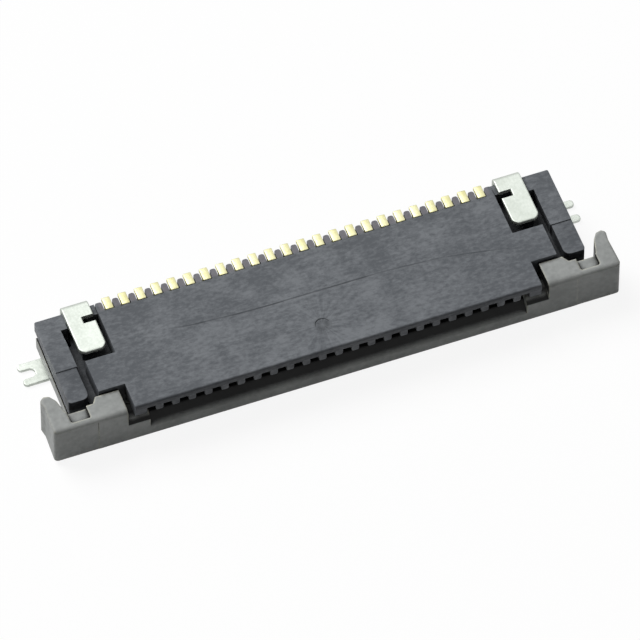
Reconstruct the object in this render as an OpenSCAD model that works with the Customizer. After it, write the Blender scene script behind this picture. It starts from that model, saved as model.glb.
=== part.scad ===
// Slide-lock connector for a flat flexible cable, surface-mount, one row of contacts.
// The solder side faces up. X runs along the row, the cable enters from the front (-Y),
// and the origin lies on the bottom plane under the middle of the connector.

/* [Contacts] */
// Number of contacts in the row
contact_count = 24; // [8:2:50]
// Distance between neighbouring contacts
pitch = 0.5; // [0.45:0.01:0.6]
// Thickness of the strip that the contacts are punched from
contact_t = 0.2; // [0.15:0.01:0.22]
// Height of the spring beam at its root
beam_h = 0.17; // [0.12:0.01:0.18]
// Height of the spring beam behind its tip
beam_tip_h = 0.1; // [0.08:0.01:0.12]
// How far the contact point reaches into the cable slot
contact_bump = 0.08; // [0.05:0.01:0.12]
// Distance of the contact point behind the front edge
bump_y = 0.95; // [0.8:0.05:1.4]
// Height of the anchor arm on the far wall
anchor_h = 0.14; // [0.1:0.01:0.16]
// Length of the anchor arm
anchor_len = 1.2; // [0.6:0.1:1.6]
// Height of the solder foot
foot_t = 0.15; // [0.1:0.01:0.18]
// How far the solder foot reaches behind the cover
foot_reach = 0.45; // [0.35:0.01:0.7]
// How far the feet and plates stand above the cover
solder_proud = 0.02; // [0:0.01:0.05]

/* [Housing] */
// Height of the housing
housing_h = 1.65; // [1.6:0.01:1.9]
// Depth of the cover, front to rear
cover_d = 3.55; // [3.3:0.05:4.2]
// Thickness of the cover
cover_t = 0.2; // [0.16:0.01:0.24]
// Height of the walls between the contacts, below the cover
lobe_h = 0.275; // [0.24:0.005:0.3]
// Thickness of the walls between the contacts
tooth_w = 0.225; // [0.2:0.005:0.26]
// Width of the comb teeth between the solder feet
comb_w = 0.185; // [0.16:0.005:0.2]
// How far the comb teeth reach behind the cover
tooth_reach = 0.34; // [0.2:0.01:0.36]
// Radius of the rear corners of the comb teeth
tooth_r = 0.07; // [0.02:0.01:0.075]
// Radius along the front edge of the cover
cover_r = 0.07; // [0.02:0.01:0.1]
// Gap between the outermost contact's middle and the end of the slot
slot_margin = 0.05; // [0.05:0.01:0.1]
// Thickness of the wall beside the slot
end_wall = 0.45; // [0.35:0.01:0.6]
// Thickness of the far wall
far_wall_t = 0.28; // [0.2:0.01:0.3]
// Depth of the rear block that holds the contacts
rear_block_d = 0.85; // [0.7:0.05:1]
// Distance of the gate dimple behind the front edge
dimple_y = 0.9; // [0.6:0.05:1.8]
// Distance of the gate dimple from the middle of the row
dimple_x = -0.19; // [-0.5:0.01:0.5]
// Radius of the gate dimple in the cover
dimple_r = 0.22; // [0.15:0.01:0.4]
// Depth of the gate dimple
dimple_depth = 0.02; // [0.01:0.005:0.04]

/* [Housing ends] */
// Width of the tab beside the cover
tab_w = 0.8; // [0.7:0.05:1]
// Distance of the tab and the arm behind the front edge
tab_front = 0.9; // [0.85:0.05:1.1]
// Depth of the tab
tab_d = 1.15; // [1:0.05:1.3]
// Width of the channel between tab and arm
channel_w = 0.25; // [0.2:0.01:0.3]
// How far the channel floor lies below the cover
channel_depth = 0.6; // [0.5:0.05:0.9]
// Width of the side arm
arm_w = 0.65; // [0.62:0.01:0.75]
// Length of the side arm
arm_len = 3.05; // [2.9:0.05:3.1]
// How far the arm lies below the cover
arm_drop = 0.15; // [0.05:0.01:0.25]
// How far the front of the arm steps back and down
arm_step = 0.03; // [0.02:0.01:0.06]
// Radius of the front corner of the arm
arm_r = 0.2; // [0.05:0.01:0.22]
// How far the cover narrows beside the plate pockets
pocket_inset = 0.13; // [0.05:0.01:0.15]
// Depth of the plate pocket below the cover
pocket_depth = 0.6; // [0.45:0.05:0.7]
// Width of the rebate in the arm that the slider's rail runs in
rebate_w = 0.28; // [0.24:0.01:0.3]

/* [Slider] */
// How far the slider pulls out
travel = 0.8; // [0.5:0.05:0.9]
// Running clearance round the slider
slide_gap = 0.04; // [0.02:0.01:0.06]
// How far the slider's underside lies above the bottom plane
slider_lift = 0.13; // [0.11:0.01:0.16]
// Depth of the front bar
bar_d = 0.4; // [0.3:0.02:0.5]
// Height of the upright part of the bar's front
bar_front_h = 0.36; // [0.3:0.02:0.5]
// Height of the bar
bar_h = 0.73; // [0.6:0.01:0.75]
// Depth of the lead-in slope on the bar
lead_in_d = 0.28; // [0.1:0.02:0.3]
// Thickness of the tongue under the cable
tongue_t = 0.36; // [0.3:0.01:0.38]
// Length of the tongue behind the bar
tongue_len = 2.1; // [1.6:0.05:2.2]
// Gap between the cover's side and the end block
block_gap = 0.22; // [0.15:0.01:0.3]
// Depth of the end block in front of the arm
block_d = 0.63; // [0.6:0.01:0.76]
// Depth of the raised pad in front of the tab
pad_d = 0.84; // [0.8:0.01:0.86]
// Height of the end block
block_h = 1.4; // [1.3:0.02:1.45]
// Radius along the top front edge of the end block
block_r = 0.15; // [0.04:0.01:0.16]
// Width of the raised inner part of the end block
pad_w = 1.07; // [0.95:0.01:1.2]
// Depth of the step beside the raised part
pad_step = 0.15; // [0.05:0.01:0.2]
// Depth of the rim in front of the step
rim_d = 0.2; // [0.18:0.01:0.3]
// Width of the ear
ear_w = 0.55; // [0.45:0.01:0.6]
// Length of the ear behind the front
ear_len = 1.34; // [1.1:0.02:1.6]
// Gap between the ear and the rail
ear_gap = 0.24; // [0.2:0.01:0.35]
// Thickness of the rail
rail_t = 0.2; // [0.15:0.01:0.2]
// Height of the rail at its root
rail_h = 0.4; // [0.35:0.01:0.5]
// Height of the rail at its rear end
rail_end_h = 0.5; // [0.45:0.01:0.6]
// How far the underside of the rail rises to the rear
rail_rise = 0.25; // [0.1:0.01:0.3]
// Slope of the rail's top, down towards the arm
rail_bevel = 40; // [30:1:45]
// How far the catch on the rail reaches in
catch_in = 0.08; // [0.04:0.01:0.09]
// Length of the catch
catch_len = 0.16; // [0.1:0.01:0.2]

/* [Solder plates and fork tabs] */
// Thickness of the solder plate
plate_t = 0.15; // [0.1:0.01:0.18]
// Width of the solder plate
plate_w = 0.82; // [0.7:0.01:0.84]
// Length of the solder plate, front to rear
plate_len = 1.82; // [1.6:0.01:1.9]
// How far the plate's bend reaches behind the solder feet
plate_over = 0.15; // [0.05:0.01:0.2]
// Chamfer of the plate's front corners
plate_chamfer = 0.2; // [0.1:0.01:0.3]
// Depth of the notch in the plate's inner edge
plate_notch_depth = 0.36; // [0.2:0.01:0.4]
// Width of the notch
plate_notch_w = 0.25; // [0.15:0.01:0.3]
// Distance of the notch from the plate's front edge
plate_notch_y = 0.98; // [0.9:0.01:1.05]
// Length of the plate's retention tongue inside the housing
plate_tongue_len = 1; // [0.6:0.05:1]
// Thickness of the fork tab
fork_t = 0.1; // [0.06:0.01:0.1]
// Width of the fork tab
fork_w = 0.8; // [0.6:0.02:0.9]
// How far the fork tab sticks out of the arm
fork_reach = 0.68; // [0.4:0.02:0.75]
// Width of the notch between the prongs
fork_notch_w = 0.3; // [0.2:0.02:0.4]
// Depth of the notch between the prongs
fork_notch_depth = 0.45; // [0.3:0.01:0.5]
// Distance of the fork tab's middle behind the front edge
fork_y = 3.27; // [3.1:0.01:3.35]

/* [Hidden] */
$fn = 32;
// Overshoot of cuts, so that no skin is left
cut = 0.01;
// Clearance between pressed-in metal and its slot
press_gap = 0.005;
// Straight pieces in each rounded corner of an outline
arc_steps = 5;

// Housing, measured from the front edge (y = 0) and the bottom plane (z = 0)
slot_half = (contact_count - 1) * pitch / 2 + slot_margin;
body_half = slot_half + end_wall;
// Half the width inside, which also clears the outermost contacts
cavity_half = max(slot_half, contact_x(contact_count - 1) + contact_t / 2 + slide_gap);
contact_slot_w = pitch - tooth_w;
cover_z = housing_h - cover_t;
lobe_z = cover_z - lobe_h;
lobe_setback = 0.04;
lobe_chamfer = 0.04;
rear_block_y = cover_d - rear_block_d;
far_wall_y = bar_d + slide_gap;
tooth_drop = 0.02;
tooth_end = cover_d + tooth_reach;
foot_end = cover_d + foot_reach;

// Contacts
base_front = rear_block_y + 0.05;
base_d = 0.45;
anchor_front = base_front - anchor_len;
// Where the foot rises behind the cover, and how far back it leans
rise_y = cover_d + 0.02;
rise_d = 0.05;
// Distance from the contact point to the tip, and half the width of the point
tip_run = 0.3;
point_half = 0.1;

// Housing ends
tab_x = body_half + tab_w;
tab_rear = tab_front + tab_d;
arm_in = tab_x + channel_w;
arm_out = arm_in + arm_w;
arm_rear = tab_front + arm_len;
arm_z = housing_h - arm_drop;
pocket_z = housing_h - pocket_depth;
channel_z = housing_h - channel_depth;
pocket_rear = cover_d + 0.05;
well_d = 0.33;
well_rear = pocket_rear - 0.18;
well_floor = 0.3;

// Slider
bar_z = slider_lift + bar_h;
tongue_z = bar_z - tongue_t;
block_x = body_half + block_gap;
block_z = slider_lift + block_h;
pad_x = block_x + pad_w;
rail_out = arm_out - 0.02;
rail_in = rail_out - rail_t;
rail_end = arm_rear - 0.08;
ear_in = rail_out + ear_gap;
ear_out = ear_in + ear_w;
cheek_z = lobe_z - slide_gap;
cheek_slope_z = slider_lift + 0.735;
cheek_slope_d = 0.25;
// Rounding of the slider's lower front edges
edge_r = 0.03;
tongue_end = bar_d + tongue_len;
tongue_taper = 0.5;
tongue_tip = 0.08;
// Where the front of the end block steps back, and by how much
front_step_x = block_x + 0.9;
front_step = 0.02;
// Relief behind the pad, clear of the arm's inner front corner
relief_x = arm_in - 0.11;
relief_w = 0.13;
// Outer side of the recess in the block's top
recess_out = ear_in - 0.03;
// The ear's waist and tip: share of its width, distance from its tip, and corner radius
ear_shape = [[0.91, 0.38, 0.2], [1, 0.09, 0.05], [0.76, 0, 0.07], [0.46, 0.04, 0.06], [0.2, 0.25, 0.15]];
// Rounding of the ear's outer edges
ear_edge_r = 0.08;
ear_corner_r = 0.12;
cheek_d = bump_y - 0.3 - 2 * slide_gap;
rebate_x = arm_out - rebate_w;
// Height of the open slit above the rail, at the front and at the rear
slit_h = 0.27;
rail_z = slider_lift + 0.02;
catch_h = 0.08;

// Solder plates and fork tabs
plate_top = housing_h + solder_proud;
plate_rear = foot_end + plate_over;
plate_front = plate_rear - plate_len;
plate_in = body_half + 0.02;
plate_bend_r = plate_t + 0.05;
plate_leg_h = 0.9;
tongue_inset = 0.06;
plate_tongue_z = plate_top - plate_leg_h;
end_rear = plate_rear - plate_bend_r;
// Inner side of the block that joins the arm to the housing behind the well
arm_root_x = plate_in + plate_w + 2 * press_gap;
tang_x = arm_in + 0.1;
tang_h = 0.8;
tang_w = 0.6;

overall_d = max(plate_rear, arm_rear);

function contact_name(i) = str("contact_", i < 9 ? "0" : "", i + 1);
function contact_x(i) = (i - (contact_count - 1) / 2) * pitch;

// ---- Shared shapes ----

function unit(v) = v / norm(v);
function angle_of(v) = atan2(v.y, v.x);
function turn(from, to) = let (d = to - from) d > 180 ? d - 360 : d < -180 ? d + 360 : d;

// The points of one outline corner, rounded to radius r
function corner(before, at, after, r) =
    r == 0 ? [at] : let (
        u = unit(before - at),
        v = unit(after - at),
        half = acos(u * v) / 2,
        centre = at + unit(u + v) * r / sin(half),
        first = angle_of(at + u * r / tan(half) - centre),
        sweep = turn(first, angle_of(at + v * r / tan(half) - centre))
    ) [for (i = [0 : arc_steps]) let (a = first + sweep * i / arc_steps) centre + r * [cos(a), sin(a)]];

// An outline from points given as [x, y, radius]
function outline(points) = let (n = len(points)) [
    for (i = [0 : n - 1]) each corner(
        [points[(i + n - 1) % n][0], points[(i + n - 1) % n][1]],
        [points[i][0], points[i][1]],
        [points[(i + 1) % n][0], points[(i + 1) % n][1]],
        points[i][2]
    )
];

// A box between two corners
module block(low, high) {
    translate(low) cube(high - low);
}

// A plan outline, extruded from z = low to z = high
module plan(points, low, high) {
    translate([0, 0, low]) linear_extrude(high - low) polygon(outline(points));
}

// A side outline in [y, z], extruded from x = low to x = high
module side(points, low, high) {
    translate([low, 0, 0]) rotate([90, 0, 90]) linear_extrude(high - low) polygon(outline(points));
}

// A front outline in [x, z], extruded from y = low to y = high
module front(points, low, high) {
    translate([0, high, 0]) rotate([90, 0, 0]) linear_extrude(high - low) polygon(outline(points));
}

// A shape and its mirror image on the other end
module both_ends() {
    children();
    mirror([1, 0, 0]) children();
}

// Moves the shapes from the front edge to the middle of the depth
module centred() {
    translate([0, -overall_d / 2, 0]) children();
}

// ---- Housing ----

// Cover, contact walls, rear block and far wall between the two ends
module housing_core() {
    narrow = body_half - pocket_inset;
    cover = [[0, cover_z, 0], [cover_d, cover_z, 0], [cover_d, housing_h, 0], [0, housing_h, cover_r]];
    side_wall = [
        [tab_front, 0, 0], [cover_d, 0, 0], [cover_d, cover_z, 0],
        [lobe_setback, cover_z, 0], [lobe_setback, lobe_z, 0], [tab_front, lobe_z, 0]
    ];
    intersection() {
        union() {
            side(cover, -body_half, body_half);
            block([-body_half, lobe_setback, lobe_z], [body_half, cover_d, cover_z + cut]);
            block([-body_half, rear_block_y, 0], [body_half, cover_d, housing_h]);
            block([-slot_half + slide_gap, far_wall_y, 0], [slot_half - slide_gap, cover_d, far_wall_t]);
            block([-body_half, tab_front, 0], [body_half, cover_d, far_wall_t]);
            both_ends() side(side_wall, cavity_half, body_half);
        }
        plan([
            [-body_half, -cut, 0], [body_half, -cut, 0], [body_half, tab_rear, 0], [narrow, tab_rear, 0],
            [narrow, cover_d, 0], [-narrow, cover_d, 0], [-narrow, tab_rear, 0], [-body_half, tab_rear, 0]
        ], -cut, housing_h + cut);
    }
}

// Comb teeth between the solder feet, and a wider one at each end
module comb_teeth() {
    for (i = [1 : contact_count - 1]) {
        x = contact_x(i) - pitch / 2;
        tooth(x - comb_w / 2, x + comb_w / 2);
    }
    end_in = contact_x(contact_count - 1) + (pitch - comb_w) / 2;
    both_ends() tooth(end_in, body_half - pocket_inset);
}

module tooth(left, right) {
    front = cover_d - cut;
    plan([
        [left, front, 0], [right, front, 0], [right, tooth_end, tooth_r], [left, tooth_end, tooth_r]
    ], 0, housing_h - tooth_drop);
}

// The room cut for one contact: beam channel, press-fit slot for the base and the foot's way out
module contact_room(x) {
    half = contact_slot_w / 2;
    fit = contact_t / 2 + press_gap;
    flare = half + lobe_chamfer;
    beam_channel = [
        [-half, cover_z, 0], [half, cover_z, 0], [half, lobe_z + lobe_chamfer, 0],
        [flare, lobe_z - cut, 0], [-flare, lobe_z - cut, 0], [-half, lobe_z + lobe_chamfer, 0]
    ];
    translate([x, rear_block_y + cut, 0]) rotate([90, 0, 0])
        linear_extrude(rear_block_y + 2 * cut) polygon(outline(beam_channel));
    block([x - fit, rear_block_y - cut, far_wall_t], [x + fit, cover_d + cut, cover_z]);
    block([x - fit, cover_d, far_wall_t], [x + fit, foot_end, housing_h + cut]);
}

// Solid form of one end: tab, pocket block, channel floor and side arm
module end_form() {
    wall = cavity_half + cut;
    step = arm_step;
    block([wall, tab_front, 0], [tab_x, tab_rear, housing_h]);
    block([wall, tab_rear - cut, 0], [arm_in + cut, end_rear, pocket_z]);
    block([tab_x - cut, tab_front, 0], [arm_in + cut, tab_rear, channel_z]);
    block([body_half - pocket_inset - cut, pocket_rear, 0], [arm_root_x, end_rear, plate_top - plate_t]);
    block([arm_root_x, well_rear, 0], [arm_in + cut, arm_rear, arm_z]);
    plan([
        [arm_in, tab_rear, 0], [arm_out, tab_rear, 0], [arm_out, arm_rear, 0.05], [arm_in, arm_rear, 0]
    ], 0, arm_z);
    plan([
        [arm_in + step, tab_front, arm_r], [arm_out, tab_front, arm_r / 2],
        [arm_out, tab_rear + cut, 0], [arm_in + step, tab_rear + cut, 0]
    ], 0, arm_z - step);
}

// Post in the pocket that the solder plate lies on
module plate_post() {
    block([plate_in + plate_notch_depth, plate_front + plate_chamfer, pocket_z - cut],
        [plate_in + plate_w - 2 * tongue_inset, pocket_rear + cut, plate_top - plate_t]);
}

// What is cut out of one end: well, rail rebate, catch pocket and the slots for the metal pieces
module end_cuts() {
    top_front = rail_z + rail_h + slit_h;
    top_rear = rail_z + rail_rise + rail_end_h + slit_h;
    catch_x = rebate_x - catch_in - slide_gap / 2;
    catch_front = rail_end - catch_len - travel - slide_gap;
    fork_low = fork_y - fork_w / 2 - press_gap;
    fork_high = fork_y + fork_w / 2 + press_gap;
    block([arm_root_x, well_rear - well_d, well_floor], [arm_in + cut, well_rear, arm_z + cut]);
    side([
        [tab_front - cut, -cut, 0], [arm_rear + cut, -cut, 0],
        [arm_rear + cut, top_rear, 0], [tab_front - cut, top_front, 0]
    ], rebate_x, arm_out + cut);
    block([catch_x, catch_front, rail_z - cut], [rebate_x + cut, arm_rear + cut, top_front]);
    block([tang_x - press_gap, fork_low, -cut], [arm_out + cut, fork_high, fork_t + press_gap]);
    block([tang_x - press_gap, fork_y - tang_w / 2 - press_gap, -cut],
        [tang_x + fork_t + press_gap, fork_y + tang_w / 2 + press_gap, tang_h + press_gap]);
    block([plate_in + tongue_inset - press_gap, plate_rear - plate_tongue_len - plate_t, plate_tongue_z - press_gap],
        [plate_in + plate_w - tongue_inset + press_gap, plate_rear, plate_tongue_z + plate_t + press_gap]);
}

module gate_dimple() {
    translate([dimple_x, dimple_y, housing_h - dimple_depth]) cylinder(r = dimple_r, h = dimple_depth + cut);
}

module housing() {
    color("#50545c") centred() difference() {
        union() {
            housing_core();
            comb_teeth();
            both_ends() end_form();
            both_ends() plate_post();
        }
        for (i = [0 : contact_count - 1]) contact_room(contact_x(i));
        both_ends() end_cuts();
        gate_dimple();
    }
}

// ---- Slider ----

// Front bar with its lead-in slope, and the tongue that lies under the cable
module slider_bar() {
    front = [[0, slider_lift, edge_r], [bar_d, slider_lift, 0]];
    nose = [[lead_in_d, bar_z, 0.05], [0, slider_lift + bar_front_h, 0.08]];
    side(concat(front, [
        [bar_d, tongue_z, 0], [tongue_end - tongue_taper, tongue_z, 0],
        [tongue_end, tongue_z + tongue_t / 2, edge_r], [tongue_end, bar_z - tongue_tip, edge_r],
        [tongue_end - 2 * tongue_tip, bar_z, 0]
    ], nose), -slot_half + slide_gap, slot_half - slide_gap);
    side(concat(front, [[bar_d, bar_z, 0]], nose), -block_x - cut, block_x + cut);
}

// Cheek between the bar and the end block, beside the cable
module slider_cheek() {
    side([
        [0, slider_lift, edge_r], [cheek_d, slider_lift, 0], [cheek_d, cheek_z, 0],
        [cheek_slope_d, cheek_z, 0.05], [0, cheek_slope_z, 0.08]
    ], slot_half, block_x + cut);
}

// One end: block with its raised pad, relief round the arm's corner, and the waisted ear
module slider_end() {
    plan_form = [
        [block_x, 0, 0], [front_step_x, 0, 0], [front_step_x, front_step, 0], [ear_out, front_step, ear_corner_r],
        each [for (p = ear_shape) [ear_in + p[0] * ear_w, ear_len - p[1], p[2]]],
        [ear_in, block_d, 0],
        [relief_x + relief_w, block_d, 0.05], [relief_x, pad_d, 0.02], [block_x, pad_d, 0]
    ];
    side_form = [
        [0, slider_lift, edge_r], [ear_len + cut, slider_lift, 0],
        [ear_len + cut, block_z, 0], [0, block_z, block_r]
    ];
    front_form = [
        [block_x - cut, slider_lift - cut, 0], [ear_out, slider_lift - cut, 0],
        [ear_out, block_z, ear_edge_r], [block_x - cut, block_z, 0]
    ];
    recess = [
        [pad_x, rim_d, 0.05], [recess_out, rim_d, 0.08], [recess_out, block_d + cut, 0], [pad_x, block_d + cut, 0]
    ];
    difference() {
        intersection() {
            plan(plan_form, slider_lift, block_z);
            side(side_form, block_x, ear_out);
            front(front_form, 0, ear_len);
        }
        plan(recess, block_z - pad_step, block_z + cut);
    }
}

// Side rail: its top slopes down towards the arm, and a catch sits at its rear end
module slider_rail() {
    root = block_d - 0.1;
    end_low = rail_z + rail_rise;
    end_top = end_low + rail_end_h;
    climb = atan((end_top - rail_z - rail_h) / (rail_end - root));
    difference() {
        side([
            [root, rail_z, 0], [rail_end, end_low, 0.05], [rail_end, end_top, 0.08], [root, rail_z + rail_h, 0]
        ], rail_in, rail_out);
        translate([rail_out, root, rail_z + rail_h - 2 * cut]) rotate([climb, 0, 0]) rotate([0, -rail_bevel, 0])
            block([-rail_h, -rail_h, 0], [4 * cut, arm_len + rail_h, rail_h]);
    }
    catch_end = rail_end - 2 * cut;
    plan([
        [rebate_x - catch_in, rail_end - catch_len, 0], [rail_in + cut, rail_end - catch_len, 0],
        [rail_in + cut, catch_end, 0], [rebate_x - catch_in / 2, catch_end, 0.02]
    ], (end_low + rail_z + rail_h) / 2 - catch_h, rail_z + rail_h - catch_h);
}

module slider() {
    color("#8d908c") centred() union() {
        slider_bar();
        both_ends() {
            slider_cheek();
            slider_end();
            slider_rail();
        }
    }
}

// ---- Metal pieces ----

// One contact, punched flat: spring beam, pressed-in base, anchor arm and solder foot
module contact(i) {
    base_rear = base_front + base_d;
    low = far_wall_t;
    roof = cover_z - 0.03;
    point_z = lobe_z - contact_bump;
    beam_low = roof - beam_h;
    tip_y = bump_y - tip_run;
    tip_top = lobe_z + beam_tip_h;
    shape = [
        [tip_y, tip_top, 0.03], [tip_y, lobe_z, 0.03], [bump_y - point_half, point_z, 0.06],
        [bump_y + point_half, point_z, 0.06], [bump_y + tip_run, lobe_z, 0.05], [base_front, beam_low, 0.1],
        [base_front, low + anchor_h, 0.1], [anchor_front, low + anchor_h * 0.8, 0.03],
        [anchor_front, low, 0.02], [base_rear, low, 0.03],
        [base_rear, roof - foot_t, 0.08], [rise_y + foot_t, roof - foot_t, 0.05],
        [rise_y + foot_t + rise_d, plate_top - foot_t, 0.05], [foot_end, plate_top - foot_t, 0],
        [foot_end, plate_top, 0.05], [rise_y + rise_d, plate_top, 0.05], [rise_y, roof, 0.03],
        [bump_y + 5 * point_half, roof, 0]
    ];
    x = contact_x(i);
    color("#d8c878") centred() side(shape, x - contact_t / 2, x + contact_t / 2);
}

// A quarter bend of sheet, from pointing along +Y to pointing down
module sheet_bend(width, inner_r) {
    rotate([90, 0, 90]) intersection() {
        difference() {
            cylinder(r = inner_r + plate_t, h = width);
            translate([0, 0, -cut]) cylinder(r = inner_r, h = width + 2 * cut);
        }
        translate([0, 0, -cut]) cube([inner_r + plate_t + cut, inner_r + plate_t + cut, width + 2 * cut]);
    }
}

// Solder plate on the right: notched plate, rear bend, leg and the tongue pressed into the housing
module solder_plate_right() {
    inner_r = plate_bend_r - plate_t;
    bend_y = plate_rear - plate_bend_r;
    bend_z = plate_top - plate_bend_r;
    x = [plate_in, plate_in + plate_w];
    c = plate_chamfer;
    notch = plate_front + plate_notch_y;
    color("#d9ddd9") centred() {
        plan([
            [x[0] + c, plate_front, 0.05], [x[1] - c, plate_front, 0.05], [x[1], plate_front + c, 0.05],
            [x[1], bend_y, 0], [x[0], bend_y, 0], [x[0], notch + plate_notch_w, 0],
            [x[0] + plate_notch_depth, notch + plate_notch_w, 0.08], [x[0] + plate_notch_depth, notch, 0.08],
            [x[0], notch, 0], [x[0], plate_front + c, 0.05]
        ], plate_top - plate_t, plate_top);
        translate([x[0], bend_y, bend_z]) sheet_bend(plate_w, inner_r);
        block([x[0], plate_rear - plate_t, plate_tongue_z], [x[1], plate_rear, bend_z]);
        block([x[0] + tongue_inset, plate_rear - plate_tongue_len, plate_tongue_z],
            [x[1] - tongue_inset, plate_rear - plate_t, plate_tongue_z + plate_t]);
    }
}

module solder_plate_left() {
    mirror([1, 0, 0]) solder_plate_right();
}

// Fork tab on the right: two prongs, a flat root under the arm and a tang pressed up into it
module fork_tab_right() {
    tip = arm_out + fork_reach;
    low = fork_y - fork_w / 2;
    high = fork_y + fork_w / 2;
    notch = tip - fork_notch_depth;
    half = fork_notch_w / 2;
    prong_r = (fork_w - fork_notch_w) / 4 - 0.01;
    color("#cfd2d0") centred() {
        plan([
            [tang_x, low, 0], [tip, low, prong_r], [tip, fork_y - half, prong_r], [notch, fork_y - half, half * 0.98],
            [notch, fork_y + half, half * 0.98], [tip, fork_y + half, prong_r], [tip, high, prong_r], [tang_x, high, 0]
        ], 0, fork_t);
        block([tang_x, fork_y - tang_w / 2, 0], [tang_x + fork_t, fork_y + tang_w / 2, tang_h]);
    }
}

module fork_tab_left() {
    mirror([1, 0, 0]) fork_tab_right();
}

housing();
slider();
for (i = [0 : contact_count - 1]) {
    contact(i);
}
solder_plate_left();
solder_plate_right();
fork_tab_left();
fork_tab_right();
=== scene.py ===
"""Dresses the slide-lock cable connector: finishes, stamped metal pieces, light and camera.

Sizes are in millimetres and become metres where a mesh is made. X runs along the row of contacts,
the cable enters from -Y, and the solder side faces up.
"""
import logging
import math
from dataclasses import dataclass
from enum import Enum

import bmesh
import bpy
import numpy as np
from mathutils import Matrix, Vector


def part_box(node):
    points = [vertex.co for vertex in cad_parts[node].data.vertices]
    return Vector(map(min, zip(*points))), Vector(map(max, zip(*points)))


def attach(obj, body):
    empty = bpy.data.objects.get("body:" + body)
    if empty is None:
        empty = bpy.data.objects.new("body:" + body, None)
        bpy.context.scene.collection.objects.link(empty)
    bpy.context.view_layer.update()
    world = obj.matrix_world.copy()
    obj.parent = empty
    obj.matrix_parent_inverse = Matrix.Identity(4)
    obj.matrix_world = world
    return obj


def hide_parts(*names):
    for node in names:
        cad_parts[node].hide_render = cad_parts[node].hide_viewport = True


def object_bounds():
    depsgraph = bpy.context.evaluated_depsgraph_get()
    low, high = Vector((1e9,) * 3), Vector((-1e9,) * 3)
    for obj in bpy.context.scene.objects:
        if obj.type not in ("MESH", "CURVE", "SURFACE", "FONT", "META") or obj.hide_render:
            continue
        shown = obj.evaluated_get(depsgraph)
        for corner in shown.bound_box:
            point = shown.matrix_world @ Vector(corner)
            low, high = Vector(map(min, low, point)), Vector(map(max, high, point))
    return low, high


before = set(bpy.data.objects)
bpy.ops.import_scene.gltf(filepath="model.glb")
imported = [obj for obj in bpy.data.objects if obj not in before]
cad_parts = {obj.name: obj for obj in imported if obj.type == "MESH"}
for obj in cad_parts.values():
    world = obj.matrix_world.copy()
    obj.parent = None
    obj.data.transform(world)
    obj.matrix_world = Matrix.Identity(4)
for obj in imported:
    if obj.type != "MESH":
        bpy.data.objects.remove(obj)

LOG = logging.getLogger("connector")
MM = 0.001
CAD_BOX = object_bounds()
Colour = tuple[float, float, float]

# How far the painted shade of gaps looks for something near, in millimetres
SHADE_REACH = 1.1
# Colour of the painted shade deep in a gap
PAINTED_SHADE_COLOUR = (0.004, 0.004, 0.004)
# Depth of the grain at full strength, in millimetres
GRAIN_DEPTH = 0.01
# How much the roughness swings round its mean
GLOSS_SWING = 0.06
# Where the flat ring inside a rolled edge lies, in radii of the roll
FLAT_RING = 1.4


class Side(Enum):
    """The two ends of the connector, as the sign of X."""

    LEFT = -1
    RIGHT = 1


# ---------------------------------------------------------------------------
# Shader helpers
# ---------------------------------------------------------------------------

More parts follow.
